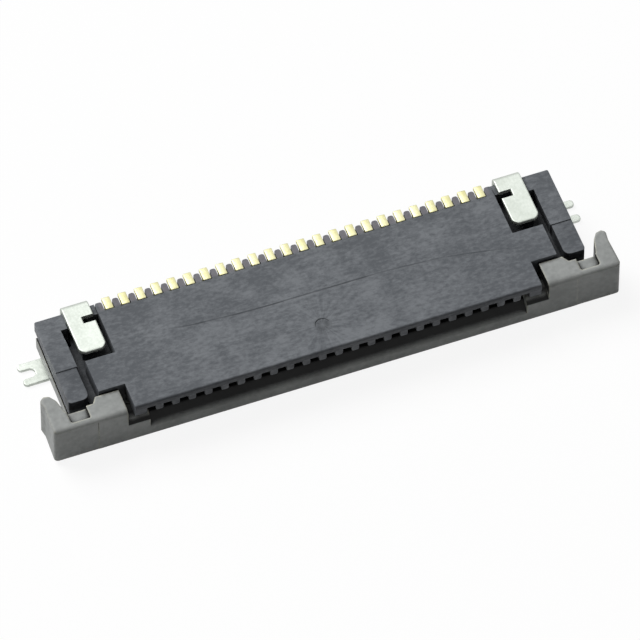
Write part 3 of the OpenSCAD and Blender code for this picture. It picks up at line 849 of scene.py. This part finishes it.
@dataclass
class SolderPlate:
    """A notched solder plate bent down at its rear, with the tongue that holds it.

    Attributes:
        side: The end of the connector that it is on.
        finish: Its finish.
        thick: Thickness of the sheet.
        bend: Outer radius of its bend.
        chamfer: Size c of its front corners.
        notch: Place along the plate where its notch starts and ends.
        notch_d: Depth of the notch.
        notch_run: Length over which each side of the notch is drawn more finely.
        tongue: Length of the tongue.
        tongue_inset: How much narrower the tongue is on each side.
        roll: Radius of the rolled edges.
    """

    side: Side
    finish: Finish
    thick: float = 0.15
    bend: float = 0.2
    chamfer: float = 0.18
    notch: tuple[float, float] = (0.98, 1.23)
    notch_d: float = 0.36
    notch_run: float = 0.06
    tongue: float = 1.0
    tongue_inset: float = 0.06
    roll: float = 0.03

    def spine(self, box: np.ndarray) -> tuple[np.ndarray, np.ndarray, np.ndarray]:
        """Works out the sheet's middle line: flat, a quarter circle, then straight down.

        Args:
            box: Lowest and highest corner of the plate, in millimetres.

        Returns:
            Distance along the line, its points as depth and height, and its outward normals.
        """
        low, high = box
        middle = self.bend - self.thick / 2
        flat = high[1] - low[1] - self.bend
        n0, n1 = self.notch
        r, c, run_in = self.roll, self.chamfer, self.notch_run
        stations = [0, 0.3 * r, r, 0.3 * c, 0.45 * c, 0.6 * c, 0.8 * c, c,
                    n0 - r, n0 - 0.3 * r, n0, n0, n0 + run_in, n1 - run_in, n1, n1, n1 + 0.3 * r, n1 + r, flat]
        angle = np.linspace(0, math.pi / 2, 13)[1:]
        centre = np.array([high[1] - self.bend, high[2] - self.bend])
        run = np.array([[low[1] + s, high[2] - self.thick / 2] for s in stations])
        turn = centre + middle * np.stack([np.sin(angle), np.cos(angle)], axis=1)
        drop = np.array([[high[1] - self.thick / 2, low[2] + 0.3 * r], [high[1] - self.thick / 2, low[2]]])
        along = np.concatenate([stations, flat + middle * angle, flat + middle * math.pi / 2 + np.array([0.5, 0.6])])
        out = np.concatenate([np.tile([0.0, 1.0], (len(stations), 1)),
                              np.stack([np.sin(angle), np.cos(angle)], axis=1), np.tile([1.0, 0.0], (2, 1))])
        return along, np.concatenate([run, turn, drop]), out

    def build(self, dresser: Dresser) -> None:
        """Carries the sheet's section along its middle line.

        The section at distance s is a rounded bar from inner(s) to outer(s), thick / 2 to each side
        of the line. Over the first c millimetres both edges are drawn in by
        c * (1 - (1 - (1 - s / c) ** 1.5) ** (2 / 3)), and inner steps in at the notch.

        Args:
            dresser: Puts the finish on.
        """
        node = f"solder_plate_{self.side.name.lower()}"
        box = np.array(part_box(node)) / MM
        along, line, out = self.spine(box)
        near, far = sorted((abs(box[0][0]), abs(box[1][0])))
        short = np.clip(1 - along / self.chamfer, 0, 1) ** 1.5
        lead = self.chamfer * (1 - (1 - short) ** (1 / 1.5))
        ring = np.arange(len(along))
        first = int(np.argmax(along == self.notch[0])) + 1
        last = int(np.argmax(along == self.notch[1]))
        inner = near + lead + np.where((ring >= first) & (ring <= last), self.notch_d, 0.0)
        outer = far - lead
        thin = np.interp(along, [0, 0.3 * self.roll, self.roll], [self.roll, 0.3 * self.roll, 0])
        half = self.thick / 2 - thin
        a = np.linspace(0, math.pi / 2, 4)
        inset = np.append(FLAT_RING * self.roll, self.roll * (1 - np.sin(a)))
        drop = np.append(0.0, self.roll * (1 - np.cos(a)))
        across = np.concatenate([outer[:, None] - inset, outer[:, None] - inset[::-1],
                                 inner[:, None] + inset, inner[:, None] + inset[::-1]], axis=1)
        height = np.concatenate([half[:, None] - drop, drop[::-1] - half[:, None],
                                 drop - half[:, None], half[:, None] - drop[::-1]], axis=1)
        spot = line[:, None] + height[..., None] * out[:, None]
        plate = np.dstack([across * self.side.value, spot])
        end = line[-1]
        depth = np.linspace(end[0], end[0] - self.tongue + self.thick / 2, 3)
        low, high = end[1], end[1] + self.thick
        slim = self.tongue_inset
        corners = np.array([[near + slim, low], [far - slim, low], [far - slim, high], [near + slim, high]])
        grid = (len(depth), len(corners))
        tongue = np.stack([np.broadcast_to(corners[:, 0] * self.side.value, grid),
                           np.broadcast_to(depth[:, None], grid),
                           np.broadcast_to(corners[:, 1], grid)], axis=-1)
        piece = grid_mesh(f"{node}_sheet", plate, tongue)
        shade(piece, 30.0)
        dresser.add(piece, self.finish, "housing", node)


@dataclass
class ForkTab:
    """A two-pronged solder tab stamped from thin sheet, with its tang.

    Attributes:
        side: The end of the connector that it is on.
        finish: Its finish.
        thick: Thickness of the sheet.
        gap: Width of the notch between the prongs.
        gap_d: Depth of that notch.
        tang_w: Width of the tang that holds the tab in the arm.
        roll: Radius of the rolled edges.
        tang_roll: Radius of the tang's rolled edges.
    """

    side: Side
    finish: Finish
    thick: float = 0.1
    gap: float = 0.3
    gap_d: float = 0.45
    tang_w: float = 0.6
    roll: float = 0.025
    tang_roll: float = 0.01

    def build(self, dresser: Dresser) -> None:
        """Rolls the forked outline up, and the tang's outline sideways.

        Args:
            dresser: Puts the finish on.
        """
        node = f"fork_tab_{self.side.name.lower()}"
        low, high = np.array(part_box(node)) / MM
        root, tip = sorted((abs(low[0]), abs(high[0])))
        middle, half = (low[1] + high[1]) / 2, self.gap / 2
        prong = (high[1] - low[1] - self.gap) / 4 - 0.01
        bottom, bow = tip - self.gap_d, half * 0.98
        fork = round_corners([
            (root, low[1], 0.0), (tip, low[1], prong), (tip, middle - half, prong),
            (bottom, middle - half, bow), (bottom, middle + half, bow),
            (tip, middle + half, prong), (tip, high[1], prong), (root, high[1], 0.0),
        ])
        flat = rolled_sheet(fork, low[2], low[2] + self.thick, self.roll)
        y0, y1 = middle - self.tang_w / 2, middle + self.tang_w / 2
        bar = np.array([[y0, low[2]], [y1, low[2]], [y1, high[2]], [y0, high[2]]])
        stem = rolled_sheet(bar, root, root + self.thick, self.tang_roll)
        tang = np.stack([stem[..., 2], stem[..., 0], stem[..., 1]], axis=-1)
        for shell in (flat, tang):
            shell[..., 0] *= self.side.value
        piece = grid_mesh(f"{node}_sheet", flat, tang)
        shade(piece, 30.0)
        dresser.add(piece, self.finish, "housing", node)


# ---------------------------------------------------------------------------
# Studio
# ---------------------------------------------------------------------------

@dataclass(frozen=True)
class Lamp:
    """A square area lamp that faces the object.

    Attributes:
        name: Name of the lamp.
        place: Its position in metres.
        size: Side of the square in metres.
        power: Power in watts.
    """

    name: str
    place: tuple[float, float, float]
    size: float
    power: float

    def build(self) -> None:
        """Hangs the lamp."""
        data = bpy.data.lights.new(self.name, "AREA")
        data.shape = "SQUARE"
        data.size = self.size
        data.energy = self.power
        lamp = bpy.data.objects.new(self.name, data)
        bpy.context.scene.collection.objects.link(lamp)
        lamp.location = self.place
        lamp.rotation_euler = Vector(self.place).to_track_quat("Z", "Y").to_euler()


@dataclass
class Studio:
    """Pale floor, soft lamps and the camera.

    Attributes:
        place: Where the camera stands, in millimetres.
        right: Direction of the camera's right.
        up: Direction of the camera's top.
        lens: Focal length on a 36 mm sensor, in millimetres.
        fill: World light that shades the object.
        floor_colour: Floor brightness that shades the object.
        floor_seen: Floor brightness that takes the object's shadow.
        floor_glow: Share of the floor's white that needs no lamp.
        floor_half: Half the floor's side, in metres.
        floor_z: Height of the floor, in millimetres.
        lamps: The lamps.
    """

    place: tuple[float, float, float] = (-62.40, -167.085, 244.92)
    right: tuple[float, float, float] = (0.9372, -0.3489, 0.0014)
    up: tuple[float, float, float] = (0.2812, 0.7576, 0.5891)
    lens: float = 587.0
    fill: float = 0.045
    floor_colour: float = 0.6
    floor_seen: float = 0.12
    floor_glow: float = 0.9
    floor_half: float = 0.6
    floor_z: float = -0.01
    lamps: tuple[Lamp, ...] = (
        Lamp("back_softbox", (-0.14, 0.22, 0.32), 0.26, 1.7),
        Lamp("front_card", (0.0, -0.35, 0.05), 0.2, 0.1),
    )

    def camera(self) -> None:
        """Places the camera on its sight line."""
        data = bpy.data.cameras.new("camera")
        data.lens = self.lens
        data.sensor_width = 36.0
        data.clip_start = 0.01
        data.clip_end = 10.0
        eye = bpy.data.objects.new("camera", data)
        bpy.context.scene.collection.objects.link(eye)
        right, up = Vector(self.right).normalized(), Vector(self.up)
        up = (up - right * up.dot(right)).normalized()
        axes = Matrix((right, up, right.cross(up))).transposed()
        eye.matrix_world = Matrix.Translation(Vector(self.place) * MM) @ axes.to_4x4()
        bpy.context.scene.camera = eye

    def seen(self, nodes: Nodes) -> bpy.types.NodeSocket:
        """Gives 1 for rays from the camera, a mirror or glass, and 0 for others."""
        path = nodes.add("ShaderNodeLightPath")
        glossy = nodes.math("MAXIMUM", path.outputs["Is Glossy Ray"], path.outputs["Is Transmission Ray"])
        return nodes.math("MAXIMUM", glossy, path.outputs["Is Camera Ray"])

    def floor(self) -> None:
        """Lays the floor just below the object: seen as white, with a soft shadow, and as nothing from below."""
        half, low = self.floor_half, self.floor_z * MM
        mesh = bpy.data.meshes.new("floor")
        corners = [(-half, -half, low), (half, -half, low), (half, half, low), (-half, half, low)]
        mesh.from_pydata(corners, [], [(0, 1, 2, 3)])
        floor = bpy.data.objects.new("floor", mesh)
        bpy.context.scene.collection.objects.link(floor)
        material = bpy.data.materials.new("floor")
        material.use_nodes = True
        nodes = Nodes(material.node_tree)
        shader = material.node_tree.nodes["Principled BSDF"]
        seen = self.seen(nodes)
        nodes.feed(shader.inputs["Base Color"], nodes.blend(seen, (self.floor_colour,) * 3, (self.floor_seen,) * 3))
        nodes.feed(shader.inputs["Roughness"], 1.0)
        nodes.feed(shader.inputs["Specular IOR Level"], 0.0)
        nodes.feed(shader.inputs["Emission Color"], (1.0, 1.0, 1.0))
        nodes.feed(shader.inputs["Emission Strength"], nodes.math("MULTIPLY", seen, self.floor_glow))
        below = nodes.add("ShaderNodeMixShader")
        nodes.feed(below.inputs[0], nodes.add("ShaderNodeNewGeometry").outputs["Backfacing"])
        nodes.feed(below.inputs[1], shader.outputs[0])
        nodes.feed(below.inputs[2], nodes.add("ShaderNodeBsdfTransparent").outputs[0])
        nodes.feed(material.node_tree.nodes["Material Output"].inputs["Surface"], below.outputs[0])
        mesh.materials.append(material)

    def light(self) -> None:
        """Sets the world light and the lamps."""
        world = bpy.data.worlds.new("studio")
        bpy.context.scene.world = world
        world.use_nodes = True
        nodes = Nodes(world.node_tree)
        sky = world.node_tree.nodes["Background"]
        nodes.feed(sky.inputs["Color"], (1.0, 1.0, 1.0))
        nodes.feed(sky.inputs["Strength"], nodes.span(self.seen(nodes), 0.0, 1.0, self.fill, 1.0))
        for lamp in self.lamps:
            lamp.build()

    def build(self) -> None:
        """Makes the whole studio."""
        bpy.context.scene.view_settings.view_transform = "Standard"
        self.camera()
        self.floor()
        self.light()


def main() -> None:
    """Builds the finishes, the pieces and the studio."""
    logging.basicConfig(level=logging.INFO, format="%(message)s")
    Studio().build()
    housing = HousingPlastic(
        name="housing_plastic", slot="housing_plastic", dark=(0.125, 0.135, 0.148), light=(0.222, 0.236, 0.253),
        edge_wear_and_highlight=(0.25, 0.27, 0.29), wear_and_highlight_strength=0.5, roughness=0.5, per_metre=9000.0, bump=0.6, edge_radius=0.02,
        gap=0.76, shine=0.12)
    slider = Finish(
        name="slider_plastic", slot="slider_plastic", dark=(0.325, 0.337, 0.33), light=(0.425, 0.44, 0.43),
        edge_wear_and_highlight=(0.68, 0.67, 0.53), wear_and_highlight_strength=0.8, roughness=0.45, per_metre=7000.0, bump=0.5, edge_radius=0.09,
        gap=0.98, open_share=(0.54, 0.83), shine=0.12)
    gold = Finish(
        name="gold_plating", slot="gold", dark=(0.54, 0.515, 0.28), light=(0.66, 0.64, 0.4),
        edge_wear_and_highlight=(0.8, 0.78, 0.55), wear_and_highlight_strength=0.5, roughness=0.48, per_metre=12000.0, bump=0.15, edge_radius=0.01,
        metallic=1.0)
    tin = Finish(
        name="tin_plating", slot="tin", dark=(0.42, 0.45, 0.41), light=(0.5, 0.53, 0.49),
        edge_wear_and_highlight=(0.66, 0.68, 0.65), wear_and_highlight_strength=0.5, roughness=0.5, per_metre=12000.0, bump=0.15, edge_radius=0.01,
        metallic=1.0)
    groups = Groups(grain_group(), edge_group(), painted_gap_shade_group())
    dresser = Dresser({finish.name: finish.build(groups) for finish in (housing, slider, gold, tin)})
    Moulding("housing", "housing", housing).build(dresser)
    Moulding("slider", "slider", slider, 0.02).build(dresser)
    Contacts(24, gold).build(dresser)
    for side in Side:
        SolderPlate(side, tin).build(dresser)
        ForkTab(side, tin).build(dresser)
    by_kind = {"contact": gold, "solder": tin, "fork": tin, "housing": housing, "slider": slider}
    for node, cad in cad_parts.items():
        dresser.dress(cad, by_kind[node.split("_")[0]])


if __name__ == "__main__":
    main()
